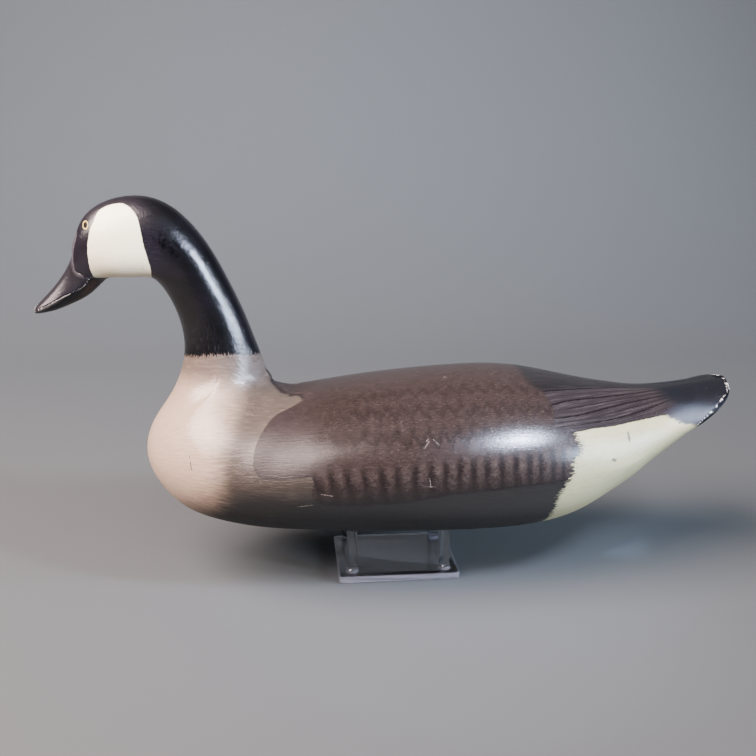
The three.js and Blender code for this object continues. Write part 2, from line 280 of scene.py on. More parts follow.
def paint_places(piece):
    """Keeps on the piece where each coat of paint lies, and gives back the names for its material."""
    mesh = piece.data
    at = np.empty(len(mesh.vertices) * 3)
    mesh.vertices.foreach_get("co", at)
    x, y, z = at.reshape(-1, 3).T / MM
    rise = np.clip((x - RISE_START) / RISE_LENGTH, 0, 1)
    axis = AXIS_HEIGHT + AXIS_RISE * rise * rise * (3 - 2 * rise)
    around = DRUM_RADIUS * np.arctan2(np.abs(y), z - axis)
    flat, side = np.c_[x, around], np.c_[x, z]
    fields = {}
    for name, (line, on_head) in outlines().items():
        fields[name] = depth_inside(side if on_head else flat, line)

    # the black ends at this height at the front and the back of the neck, and a little higher between
    neck_end, higher, neck_middle, neck_half = 217, 5, -163, 36
    between = np.clip(1 - ((x - neck_middle) / neck_half) ** 2, 0, 1)
    fields["neck"] = np.where(x < -100, z - neck_end - higher * between, -50)

    # quills: 1 to 5 on the dark lines between them, and less than 1 above the first
    quills_start, quills_end, least_width, first_width = 125, 265, 3, 16
    along = np.clip(x, quills_start, quills_end)
    lines = [np.poly1d(np.polyfit(*np.array(line).T, 3))(along) for line in QUILL_LINES]
    count = np.zeros_like(x)
    for k, (low, high) in enumerate(zip(lines, lines[1:])):
        high = np.maximum(high, low + least_width)
        count = np.where(around >= low, k + 1 + (around - low) / (high - low), count)
    fields["quill"] = np.where(around < lines[0], 1 - (lines[0] - around) / first_width, count)
    fields["bar"] = np.interp(x, BARS, range(len(BARS)))

    # how far the coats' edges are frayed and how soft they are, in millimetres: the back's is frayed
    # at the notch, the rear and the lower side, and the tail's at its end, on the rump and in front
    notch, rear, low_side = (around < 50) & (x < -80), x > 130, around > 152
    tail_end, rump, front = (around > 145) & (x > 250), (around < 66) & (x < 140), x < 142
    fields["fray"] = np.select([notch, rear, low_side], [4.6, 2.8, 1.6], 0.5)
    fields["tail_fray"] = np.select([tail_end, rump, front], [3.4, 5, 2], 0.4)
    fields["tail_soft"] = np.select([tail_end, rump, front], [0.8, 7, 3], 0.8)
    fields["rim"] = tail_rim_distance(x, y, z)
    for name, values in fields.items():
        mesh.attributes.new(name, "FLOAT", "POINT").data.foreach_set("value", values.astype(np.float32))

    # a map of the way round, in metres, with its seam along the keel: a corner on the middle line is
    # on the side of its face
    corners = np.empty(len(mesh.loops), int)
    mesh.loops.foreach_get("vertex_index", corners)
    sizes = np.empty(len(mesh.polygons), int)
    mesh.polygons.foreach_get("loop_total", sizes)
    face = np.repeat(np.arange(len(sizes)), sizes)
    middle = np.bincount(face, weights=y[corners]) / sizes
    on_middle = np.abs(y[corners]) <= 1e-3
    turned = around[corners] * np.where(on_middle, np.sign(middle[face]), np.sign(y[corners]))
    layer = mesh.uv_layers.new(name="lengthwise")
    layer.data.foreach_set("uv", (np.c_[x[corners], turned] * MM).astype(np.float32).ravel())
    return tuple(fields)


def add_node(tree, kind, inputs=(), out=0, **settings):
    """Adds a node with its settings and inputs, and gives one of its outputs back.

    The inputs are a row, for its sockets from the first on, or a dictionary by socket. Each is another
    node's output, a value, or the sRGB hex value of a colour.
    """
    node = tree.nodes.new("ShaderNode" + kind)
    for name, value in settings.items():
        setattr(node, name, value)
    by_socket = inputs if isinstance(inputs, dict) else dict(enumerate(inputs))
    for socket, value in by_socket.items():
        if isinstance(value, bpy.types.NodeSocket):
            tree.links.new(value, node.inputs[socket])
        else:
            node.inputs[socket].default_value = (*linear(value), 1) if isinstance(value, str) else value
    return node.outputs[out] if node.outputs else node


def new_material(name):
    material = bpy.data.materials.new(name)
    material.use_nodes = True
    material.node_tree.nodes.clear()
    return material, material.node_tree


def satin_paint(look, fields):
    """Satin paint brushed on carved basswood: soft gloss, brush ridges, frayed edges and small nicks."""
    material, tree = new_material("brushed satin paint on carved wood")
    paint = {name: (*getattr(look, name), 1) for name in GoosePaint.__annotations__}

    # A Map Range has its value at socket 0, the range it is read from at 1 and 2, and what that becomes
    # at 3 and 4, which is 0 to 1 unless given. A Mix has its share at 0, and where it mixes colours, the
    # one beneath is 6 and the one over it is 7.
    over = {"data_type": "RGBA", "out": 2}
    smooth = {"interpolation_type": "SMOOTHSTEP"}

    def add(kind, inputs=(), out=0, **settings):
        return add_node(tree, kind, inputs, out, **settings)

    def marked(tone, *rows):
        """Marks over a tone, each row: the marks, where they start and are full, how much, their colour."""
        for marks, start, full, most, code in rows:
            share = add("MapRange", (grain[marks], start, full, 0, most))
            tone = add("Mix", {0: share, 6: tone, 7: code}, **over)
        return tone

    def within(*limits):
        """Share of the paint where each value lies in its range. An earlier share can stand among them."""
        share = None
        for limit in limits:
            here = add("MapRange", limit) if isinstance(limit, tuple) else limit
            share = here if share is None else add("Math", (share, here), operation="MULTIPLY")
        return share

    place = add("VectorMath", {0: add("TexCoord", out="Object"), "Scale": 1 / MM}, operation="SCALE")
    x, y, z = add("SeparateXYZ", (place,)).node.outputs
    wrap = add("VectorMath", {0: add("UVMap", uv_map="lengthwise"), "Scale": 1 / MM}, operation="SCALE")
    turned = add("SeparateXYZ", (wrap,), out=1)
    around = add("Math", (turned,), operation="ABSOLUTE")
    field = {name: add("Attribute", attribute_name=name, out="Fac") for name in fields}
    along_quills = add("CombineXYZ", (x, field["quill"]))

    # Brush marks and blotches: the coordinates they follow, their length along each in millimetres,
    # detail and roughness. Real bristle marks are finer, and these are as coarse as they need to show.
    grains = {
        "cloud": (place, (42, 42, 42), 2, 0.5),
        "blotch": (place, (9, 9, 9), 3, 0.6),
        "chip": (place, (2.1, 2.1, 2.1), 2, 0.7),
        "fleck": (place, (1.6, 1.6, 1.6), 2, 0.6),
        "stroke": (wrap, (16, 1.5, 1), 4, 0.65),
        "sweep": (wrap, (14, 2.2, 1), 3, 0.6),
        "hair": (wrap, (7, 0.9, 1), 2, 0.6),
        "upright": (place, (0.8, 0.8, 8), 2, 0.6),
        "hatch": (place, (7, 7, 0.9), 2, 0.6),
        "barb": (wrap, (4.2, 1.05, 1), 3, 0.65),
        "weave": (wrap, (2.6, 1.1, 1), 3, 0.7),
        "speck": (place, (4, 4, 4), 3, 0.7),
        "band": (place, (12, 12, 1), 3, 0.6),
        "vane": (along_quills, (34, 0.14, 1), 2, 0.5),
        "ripple": (wrap, (3.4, 1.7, 1), 2, 0.5),
    }
    grain = {}
    for name, (source, lengths, detail, rough) in grains.items():
        scaled = add("Mapping", {"Vector": source, "Scale": [1 / length for length in lengths]})
        noise = {"Vector": scaled, "Scale": 1, "Detail": detail, "Roughness": rough, "Distortion": 0.3}
        grain[name] = add("MapRange", (add("TexNoise", noise), 0.28, 0.72, -1, 1), clamp=False)

    # Edges of the coats: the marks that fray each, by how much, and how soft it is, in millimetres
    edges = {
        "back": ("hair", field["fray"], 0.7),
        "white": ("hair", 5, 0.7),
        "tail": ("hair", field["tail_fray"], field["tail_soft"]),
        "tail_tip": ("stroke", 5, 16),
        "belly": ("sweep", 5, 42),
        "cheek": ("blotch", 0.35, 0.6),
        "bill": ("blotch", 0.4, 1.2),
        "mandible": ("fleck", 0.15, 0.5),
        "neck": ("upright", 3.2, 0.5),
    }
    coat = {}
    for name, (marks, fray, soft) in edges.items():
        frayed = add("Math", (grain[marks], fray, field[name]), operation="MULTIPLY_ADD")
        coat[name] = add("MapRange", (frayed, 0, soft))

    # Breast: peach beige in front, greyer behind and under the black neck, with swept strokes, and
    # darkening into the belly's dark paint, with painted shade where the breast and the shoulder lobe turn
    # under
    behind = add("Math", (grain["sweep"], 3.5, x), operation="MULTIPLY_ADD")
    behind = add("Math", (add("MapRange", (z, 150, 190, 0, -9)), behind), operation="ADD")
    softer = add("MapRange", (z, 140, 180, -150, -140))
    behind = add("MapRange", (behind, -178, softer), **smooth)
    colour = add("Mix", {0: behind, 6: paint["breast"], 7: paint["shoulder"]}, **over)
    under_neck = add("MapRange", (z, 186, 210, 0, 0.85), **smooth)
    colour = add("Mix", {0: under_neck, 6: colour, 7: "#504742"}, **over)
    for marks, start, full, most, code in (
        ("sweep", -0.8, 1, 0.3, "#5A4C42"),
        ("stroke", 0, -1.3, 0.22, "#B9A593"),
    ):
        strokes = add("Mix", {0: add("MapRange", (z, 178, 192)), 2: grain[marks], 3: grain["band"]})
        share = add("MapRange", (strokes, start, full, 0, most))
        colour = add("Mix", {0: share, 6: colour, 7: code}, **over)
    # painted shade in part: the belly's dark paint fades up over a wide soft edge where the body turns under
    belly = add("Math", (coat["belly"], 0.96), operation="MULTIPLY")
    colour = add("Mix", {0: belly, 6: colour, 7: paint["belly"]}, **over)

    # Back: brown, a little redder on the shoulder lobe as its painted pink sheen, with blurred strokes and
    # fine barbs all over
    lobe = add("MapRange", (x, -60, -112, 0, 1), **smooth)
    # painted sheen: the lobe's pinker brown stands in for the warm light that it catches
    back = add("Mix", {0: lobe, 6: paint["back"], 7: "#2A1F1E"}, **over)
    back = marked(
        back,
        ("cloud", -1, 1.4, 0.45, "#2D2623"),
        ("stroke", 0.9, -1, 0.5, "#0F0C0B"),
        ("blotch", 0.1, 1.4, 0.35, "#332B28"),
        ("barb", 0.1, 1.3, 0.5, "#51463F"),
        ("weave", -0.1, -1.3, 0.5, "#0B0908"),
    )

    # Bars on the side: soft dark gaps between feathers, wider and darker down to the scalloped tips,
    # fading upwards; the darkening towards the bottom is partly painted shade where the side turns under
    shifted = add("Math", (grain["blotch"], 0.07, field["bar"]), operation="MULTIPLY_ADD")
    shifted = add("Math", (grain["barb"], 0.16, shifted), operation="MULTIPLY_ADD")
    lean = add("Math", (around, 150), operation="SUBTRACT")
    lean = within(lean, (x, -75, 0, -0.02, 0))
    shifted = add("Math", (shifted, lean), operation="ADD")
    from_gap = add("Math", (shifted, 0.07), operation="ADD")
    from_gap = add("Math", (from_gap, 0.5), operation="PINGPONG")
    tops = add("MapRange", (x, -25, 150, 136, 122))
    depth = add("Math", (around, tops), operation="SUBTRACT")
    depth = add("Math", (grain["sweep"], 3, depth), operation="MULTIPLY_ADD")
    width = add("MapRange", (x, 60, 150, 0.4, 0.26))
    gap = add("MapRange", (from_gap, 0, width, 0.85, 0), **smooth)
    tip = add("Math", (add("Math", (shifted,), operation="FRACT"), -4.6, around), operation="MULTIPLY_ADD")
    # painted shade in part: the bars darken towards the bottom, where the side turns under
    low_tip_and_shade = add("MapRange", (tip, 136, 164, 0, 0.9), **smooth)
    hook = add("Math", (tip, 165.6, 1.6), operation="COMPARE")
    gap = add("Math", (gap, low_tip_and_shade), operation="MAXIMUM")
    gap = add("Math", (gap, hook), operation="MAXIMUM")
    fade = within(add("MapRange", (depth, 0, 14), **smooth), (x, -88, -80))

    # Plumes: the light tips between the bars, in strokes about 1.1 mm wide, which make the bars uneven too
    swept = add("Math", (from_gap, -15, around), operation="MULTIPLY_ADD")
    swept = add("CombineXYZ", (swept, shifted))
    plume = add("Mapping", {"Vector": swept, "Scale": (1 / 1.1, 2.2, 1)})
    plume = add("TexNoise", {"Vector": plume, "Scale": 1, "Detail": 3, "Roughness": 0.6, "Distortion": 0.4})
    light_tip = within((from_gap, 0.12, 0.4), fade, (plume, 0.42, 0.68, 0, 0.95))
    uneven = add("MapRange", (plume, 0.3, 0.5, 1.15, 0.95))
    gap = add("Math", (gap, uneven), operation="MULTIPLY", use_clamp=True)
    back = add("Mix", {0: light_tip, 6: back, 7: "#463C37"}, **over)
    bar = add("Math", (fade, 0.9), operation="MULTIPLY")
    bar = add("Math", (gap, bar), operation="MULTIPLY")
    back = add("Mix", {0: bar, 6: back, 7: paint["bars"]}, **over)

    # Fainter rows of feathers above the bars: how far round each row lies, its shift and its strength
    for row, shift, most in ((100, 0.5, 0.6), (72, 0, 0.42), (44, 0.5, 0.3)):
        phase = add("Math", (grain["blotch"], 0.22, field["bar"]), operation="MULTIPLY_ADD")
        phase = add("Math", (phase, shift), operation="ADD")
        phase = add("Math", (phase, 0.5), operation="PINGPONG")
        scallop = add("Math", (phase, 26, around), operation="MULTIPLY_ADD")
        scallop = add("Math", (grain["weave"], 3, scallop), operation="MULTIPLY_ADD")
        below, above = (scallop, row + 14, row + 27), (scallop, row + 27, row + 31, 1, 0)
        faint = within(below, above, (x, -70, -40, 0, most))
        back = add("Mix", {0: faint, 6: back, 7: paint["bars"]}, **over)

    # Paler scuffs where the back's brown was dragged over the shoulder's beige
    dragged = within((field["back"], 16, 0), (around, 52, 34), (grain["sweep"], -0.2, 0.8))
    dragged = add("Math", (dragged, 0.55), operation="MULTIPLY")
    back = add("Mix", {0: dragged, 6: back, 7: "#5D4C41"}, **over)

    # The shoulder's lower edge and the notch have a thin dark line, and the back is darker at the notch
    on_notch = within((around, 52, 46), (x, -86, -90))
    on_edge = add("Math", (add("MapRange", (around, 128, 145)), on_notch), operation="MAXIMUM")
    rim_line = within((field["back"], 2.2, 0.4), on_edge)
    rim_line = add("Math", (rim_line, 0.8), operation="MULTIPLY")
    back = add("Mix", {0: rim_line, 6: back, 7: paint["bars"]}, **over)
    shade = add("Math", (grain["weave"], 1.5, field["back"]), operation="MULTIPLY_ADD")
    shade = within((shade, 10, 3, 0, 0.8), on_notch)
    back = add("Mix", {0: shade, 6: back, 7: paint["bars"]}, **over)
    colour = add("Mix", {0: coat["back"], 6: colour, 7: back}, **over)

    # White under the tail, with yellowish strokes and greyer clouds
    white = marked(
        paint["white"],
        ("stroke", -0.2, 1.2, 0.6, "#7F7956"),
        ("cloud", 0.2, 1.6, 0.4, "#88846F"),
    )
    colour = add("Mix", {0: coat["white"], 6: colour, 7: white}, **over)

    # Rump, quills and tail: dark grey, purple brown with dark lines, black at the tip with a painted cool
    # reflection
    on_quills = within((field["quill"], 0.95, 1.05), coat["tail"])
    tail = add("Mix", {0: on_quills, 6: paint["rump"], 7: paint["quills"]}, **over)
    streaky = add("MapRange", (field["quill"], 0.3, 1, 0.16, 0.45))
    for start, full, most, tone in ((-0.1, 1.3, 1, "#4C4543"), (-0.2, -1.2, 0.5, paint["bars"])):
        vane = within((grain["vane"], start, full, 0, most), streaky)
        tail = add("Mix", {0: vane, 6: tail, 7: tone}, **over)
    wavy = add("Math", (grain["blotch"], 0.022, field["quill"]), operation="MULTIPLY_ADD")
    for repeat, half, most in ((1, 0.1, 1), (2, 0.055, 0.7)):
        phase = add("Math", (wavy, repeat), operation="MULTIPLY")
        phase = add("Math", (phase, 0.5), operation="PINGPONG")
        width = half * repeat
        line = within((phase, width * 0.2, width, most, 0), (field["quill"], 0.85, 0.92))
        tail = add("Mix", {0: line, 6: tail, 7: paint["bars"]}, **over)
    outline = within((field["tail"], 1.8, 0.6, 0, 0.7), (around, 98, 106))
    tail = add("Mix", {0: outline, 6: tail, 7: paint["bars"]}, **over)
    # the tip's black and its strokes are tinted blue as a painted reflection of the cool light
    tip_black_and_reflection = marked("#0A0C11", ("stroke", 0, 1.6, 0.3, "#171B24"))
    tail = add("Mix", {0: coat["tail_tip"], 6: tail, 7: tip_black_and_reflection}, **over)
    colour = add("Mix", {0: coat["tail"], 6: colour, 7: tail}, **over)

    # Black head and neck: mauve clouds, darker blotches, fine hatching behind the cheek and low down
    black = marked(
        paint["neck"],
        ("cloud", -0.2, 1.2, 0.4, "#19151D"),
        ("blotch", 0.3, 1.2, 0.6, "#070609"),
    )
    hatched = within((field["cheek"], -20, -4), (x, -240, -222), (grain["hatch"], 0.1, 1, 0, 0.8))
    black = add("Mix", {0: hatched, 6: black, 7: "#2E2A33"}, **over)
    mauve = add("Math", (grain["cloud"], 14, field["cheek"]), operation="MULTIPLY_ADD")
    mauve = add("MapRange", (mauve, -30, -5, 0, 0.5))
    black = add("Mix", {0: mauve, 6: black, 7: "#211D25"}, **over)
    from_smudge = add("Mapping", {"Vector": place, "Rotation": (0, SMUDGE_TURN, 0)})
    from_smudge = add("VectorMath", (from_smudge, SMUDGE), operation="SUBTRACT")
    shares = (1 / SMUDGE_HALF[0], 0, 1 / SMUDGE_HALF[1])
    from_smudge = add("VectorMath", (from_smudge, shares), operation="MULTIPLY")
    from_smudge = add("VectorMath", (from_smudge,), operation="LENGTH", out=1)
    smudge = add("Math", (grain["fleck"], 0.35, from_smudge), operation="MULTIPLY_ADD")
    smudge = within((smudge, 1.1, 0.7), (grain["speck"], -0.4, 0.3))
    black = add("Mix", {0: smudge, 6: black, 7: "#030204"}, **over)
    low_hatch = within((grain["upright"], 0.2, 1.2, 0, 0.5), (z, 262, 228))
    black = add("Mix", {0: low_hatch, 6: black, 7: "#35323A"}, **over)
    colour = add("Mix", {0: coat["neck"], 6: colour, 7: black}, **over)

    # Cheek: cream white, greyer low down, partly its paint and partly painted shade where it turns under,
    # and marked there
    # painted shade in part: the cheek greys towards its lower edge
    low = add("MapRange", (z, 318, 294, 0, 0.75))
    cheek = add("Mix", {0: low, 6: paint["cheek"], 7: "#A59C82"}, **over)
    marks = within(low, (grain["blotch"], 0.7, 1.2))
    cheek = add("Mix", {0: marks, 6: cheek, 7: "#7A7464"}, **over)
    colour = add("Mix", {0: coat["cheek"], 6: colour, 7: cheek}, **over)

    # Bill: grey black, paler beside the face from wear and a painted highlight along the face's raised edge,
    # with a darker lower half
    mottled = add("MapRange", (grain["blotch"], -1, 1, 0.3, 0))
    bill = add("Mix", {0: mottled, 6: paint["bill"], 7: "#1B191C"}, **over)
    # partly wear and partly painted highlight: a pale band along the face's raised edge
    ridge_wear_and_sheen = add("Math", (grain["fleck"], 0.9, field["bill"]), operation="MULTIPLY_ADD")
    ridge_wear_and_sheen = add("MapRange", (ridge_wear_and_sheen, 4.2, 1.5, 0, 0.55))
    bill = add("Mix", {0: ridge_wear_and_sheen, 6: bill, 7: "#5A565E"}, **over)
    bill = add("Mix", {0: coat["mandible"], 6: bill, 7: "#08080A"}, **over)
    colour = add("Mix", {0: coat["bill"], 6: colour, 7: bill}, **over)

    # Painted eye on both sides: a thin yellow ring round brown, with a near-black pupil last
    (along, up), (half_length, half_height) = EYE, EYE_HALF
    middle = (-along / half_length, 0, -up / half_height)
    from_eye = {"Vector": place, "Location": middle, "Scale": (1 / half_length, 0, 1 / half_height)}
    from_eye = add("VectorMath", (add("Mapping", from_eye),), operation="LENGTH", out=1)
    eye = add("Math", (grain["fleck"], 0.05, from_eye), operation="MULTIPLY_ADD")
    for start, full, tone in ((1.06, 0.94, paint["eye"]), (0.82, 0.71, "#1D130A"), (0.5, 0.4, "#070606")):
        pupil = add("MapRange", (eye, start, full))
        colour = add("Mix", {0: pupil, 6: colour, 7: tone}, **over)

    # Bare wood and primer: dotted 1.7 mm in from the tail's rim and along the gap of the bill, and at
    # the bill's tip
    from_rim = add("Math", (field["rim"], 1.7), operation="SUBTRACT")
    from_rim = add("Math", (from_rim,), operation="ABSOLUTE")
    rim = add("MapRange", (from_rim, 0.9, 2.4, -1.05, -2.8), clamp=False)
    rim = add("Math", (grain["chip"], 2, rim), operation="MULTIPLY_ADD")
    rim = add("MapRange", (rim, 0.1, 0.5))
    from_groove = add("Math", (field["mandible"],), operation="ABSOLUTE")
    gap_line = add("MapRange", (from_groove, 0, 1, 0.1, -1.6), clamp=False)
    gap_line = add("Math", (grain["fleck"], 1, gap_line), operation="MULTIPLY_ADD")
    gap_line = within((gap_line, 0.1, 0.4), (x, -268, -276))
    bill_tip = add("VectorMath", (place, BILL_TIP), operation="DISTANCE", out=1)
    bill_tip = add("MapRange", (bill_tip, 0, 14, 0.9, -1.2), clamp=False)
    bill_tip = add("Math", (grain["fleck"], 0.8, bill_tip), operation="MULTIPLY_ADD")
    bill_tip = add("MapRange", (bill_tip, 0, 0.6, 0, 0.7))
    bare = add("Math", (gap_line, bill_tip), operation="MAXIMUM")
    bare = add("Math", (rim, bare), operation="MAXIMUM")
    colour = add("Mix", {0: bare, 6: colour, 7: paint["bare"]}, **over)

    # Scratches and nicks on the near side, where the lengthwise map is below 0
    near_side = add("MapRange", (y, -0.5, -2))
    for scratches, most, code in ((PALE_SCRATCHES, 0.42, "#8A7E76"), (DARK_SCRATCHES, 0.8, "#171311")):
        worn = 0.0
        for ax, ay, bx, by, half in scratches:
            start, run = Vector((ax, -ay, 0)), Vector((bx - ax, ay - by, 0))
            away = add("VectorMath", (wrap, start), operation="SUBTRACT")
            share = add("VectorMath", (away, run / run.length_squared), operation="DOT_PRODUCT", out=1)
            share = add("Math", (share, 1), operation="MULTIPLY", use_clamp=True)
            foot = add("VectorMath", {0: run, "Scale": share}, operation="SCALE")
            distance = add("VectorMath", (away, foot), operation="DISTANCE", out=1)
            mark = add("Math", (grain["fleck"], 0.35, distance), operation="MULTIPLY_ADD")
            mark = add("MapRange", (mark, half * 0.8, half * 0.2))
            worn = add("Math", (worn, mark), operation="MAXIMUM")
        worn = add("Math", (worn, near_side), operation="MULTIPLY")
        worn = add("Math", (worn, most), operation="MULTIPLY")
        colour = add("Mix", {0: worn, 6: colour, 7: code}, **over)

    # Roughness: satin, uneven from the brush, smoother on the upper breast and on the pupil, and
    # rougher on the lobe, low on the breast, on the dusty top, under the tail, on the bill and where bare
    rough = add("MapRange", (grain["blotch"], -1, 1, 0.23, 0.29))
    lobe = add("Math", (lobe, coat["back"]), operation="MULTIPLY")
    covered = add("Math", (coat["neck"], coat["tail"]), operation="MAXIMUM")
    covered = add("Math", (coat["back"], covered), operation="MAXIMUM")
    on_breast = add("Math", (1, covered), operation="SUBTRACT")
    breast_rough = add("MapRange", (z, 165, 190, 0.06, -0.07))
    neck_rough = add("MapRange", (z, 322, 350, -0.045, 0.06))
    for share, more in ((lobe, 0.14), (on_breast, breast_rough), (coat["neck"], neck_rough)):
        rough = add("Math", (share, more, rough), operation="MULTIPLY_ADD")
    dusty = within((around, 75, 15, 0, 0.14), (z, 225, 205))
    tail_rough = add("MapRange", (x, 215, 265, 0, 0.03))
    under = within((around, 158, 190, 0, 0.45), (x, 200, 245, 1, 0))
    bill_rough = within((coat["mandible"], 0, 1, 0.03, 0.2), coat["bill"])
    for more in (dusty, tail_rough, under, bill_rough):
        rough = add("Math", (rough, more), operation="ADD")
    for share, more in ((coat["tail_tip"], 0.13), (bare, 0.25), (pupil, -0.2)):
        rough = add("Math", (share, more, rough), operation="MULTIPLY_ADD")

    # Brush ridges and carving ripples that stand out by a few hundredths of a millimetre
    ripple = add("MapRange", {0: coat["back"], 3: 0.2, 4: 0.08})
    off_back = add("MapRange", {0: coat["tail"], 3: 0.35, 4: 0.14})
    on_back = add("MapRange", {0: lobe, 3: 0.14, 4: 0.5})
    strokes = add("MapRange", {0: coat["back"], 3: off_back, 4: on_back})
    strokes = add("Math", (grain["stroke"], strokes), operation="MULTIPLY")
    height = add("Math", (grain["ripple"], ripple, strokes), operation="MULTIPLY_ADD")
    brushed = add("Math", (grain["fleck"], 0.22), operation="MULTIPLY")
    brushed = add("Math", (grain["speck"], 0.3, brushed), operation="MULTIPLY_ADD")
    tip_strokes = add("Math", (grain["stroke"], 0.25), operation="MULTIPLY")
    for share, rise in (
        (0.06, grain["fleck"]),
        (coat["neck"], brushed),
        (coat["tail_tip"], tip_strokes),
        (bare, -1.5),
    ):
        height = add("Math", (share, rise, height), operation="MULTIPLY_ADD")
    bump = add("Bump", {"Height": height, "Strength": 1, "Distance": 0.14 * MM})

    # The face's raised edge, the hollow in front of it and the gap of the bill, up to a millimetre deep
    ridge = add("MapRange", (field["bill"], -0.6, 1.2), **smooth)
    hollow = add("MapRange", (field["bill"], 2, 8, 0, -0.5), **smooth)
    trench = add("MapRange", (from_groove, 1.1, 0.1, 0, -0.8), **smooth)
    relief = add("Math", (ridge, hollow), operation="ADD")
    relief = add("Math", (relief, trench), operation="ADD")
    bump = add("Bump", {"Height": relief, "Strength": 1, "Distance": MM, "Normal": bump})

    # Gloss: weaker on the lobe and the bill, round the eye, along the middle of the side and outside
    # the tail's worn rim
    gloss = add("MapRange", {0: lobe, 3: 0.5, 4: 0.38})
    gloss = add("Math", (coat["bill"], -0.18, gloss), operation="MULTIPLY_ADD")
    middle, along = within((around, 100, 118), (around, 152, 136)), within((x, -85, -55), (x, 80, 10))
    dull = within(middle, along)
    dull = add("Math", (dull, add("MapRange", (eye, 1.5, 1.1))), operation="MAXIMUM")
    edge = within((field["rim"], 3.4, 2, 0, 1.4), (field["rim"], -9, -6))
    dull = add("Math", (dull, edge), operation="MAXIMUM")
    gloss = add("Math", (dull, -0.3, gloss), operation="MULTIPLY_ADD")

    finish = {
        "Base Color": colour, "Roughness": rough, "Specular IOR Level": gloss, "IOR": 1.5, "Normal": bump,
    }
    add("OutputMaterial", (add("BsdfPrincipled", finish),))
    return material


def clear_acrylic(kind, colour, clear):
    """Polished acrylic: clear, with faint smudges about 17 mm across, and milky with less than 1 clear, as a
    painted glow.
    """
    material, tree = new_material(f"polished acrylic {kind}")
    place = add_node(tree, "TexCoord", out="Object")
    smudge = add_node(tree, "TexNoise", {"Vector": place, "Scale": 60, "Detail": 4, "Roughness": 0.65})
    rough = add_node(tree, "MapRange", (smudge, 0.35, 0.75, 0, 0.03))
    finish = {
        "Base Color": colour, "Roughness": rough, "IOR": 1.49, "Transmission Weight": clear, "Alpha": 0.9,
    }
    add_node(tree, "OutputMaterial", (add_node(tree, "BsdfPrincipled", finish),))
    return material


def matte_paper(colour):
    """Seamless studio paper: matte, with faint paler clouds about 110 mm across."""
    material, tree = new_material("seamless studio paper")
    place = add_node(tree, "TexCoord", out="Object")
    clouds = add_node(tree, "TexNoise", {"Vector": place, "Scale": 9, "Detail": 5, "Roughness": 0.6})
    share = add_node(tree, "MapRange", (clouds, 0.3, 0.7, 0, 0.08))
    tone = add_node(tree, "Mix", {0: share, 6: (*colour, 1), 7: "#404446"}, data_type="RGBA", out=2)
    shader = add_node(tree, "BsdfPrincipled", {"Base Color": tone, "Roughness": 0.8})
    add_node(tree, "OutputMaterial", (shader,))
    return material


def deselect():
    if bpy.context.mode != "OBJECT":
        bpy.ops.object.mode_set(mode="OBJECT")
    bpy.ops.object.select_all(action="DESELECT")


def choose(piece, kind, test):
    """In edit mode, selects only the vertices, edges or faces that pass the test."""
    bpy.ops.mesh.select_mode(type=kind)
    bpy.ops.mesh.select_all(action="DESELECT")
    bpy.ops.object.mode_set(mode="OBJECT")
    mesh = piece.data
    for item in {"VERT": mesh.vertices, "EDGE": mesh.edges, "FACE": mesh.polygons}[kind]:
        if kind == "EDGE":
            item.select = test(*(mesh.vertices[k].co for k in item.vertices))
        else:
            item.select = test(item)
    bpy.ops.object.mode_set(mode="EDIT")


def finish_modifier(kind, **settings):
    """Adds a modifier to the active piece and applies it."""
    bpy.ops.object.modifier_add(type=kind)
    modifier = bpy.context.object.modifiers[-1]
    for name, value in settings.items():
        setattr(modifier, name, value)
    bpy.ops.object.modifier_apply(modifier=modifier.name)


def soft_light(name, place, turn, size, power, spread, code):
    """Adds a rectangular light: where, how it is turned, size in metres, watts, spread and colour."""
    bpy.ops.object.light_add(type="AREA", location=place, rotation=turn)
    lamp = bpy.context.object
    lamp.name = lamp.data.name = name
    lamp.data.shape = "RECTANGLE"
    lamp.data.size, lamp.data.size_y = size
    lamp.data.energy = power
    lamp.data.spread = math.radians(spread)
    lamp.data.color = linear(code)


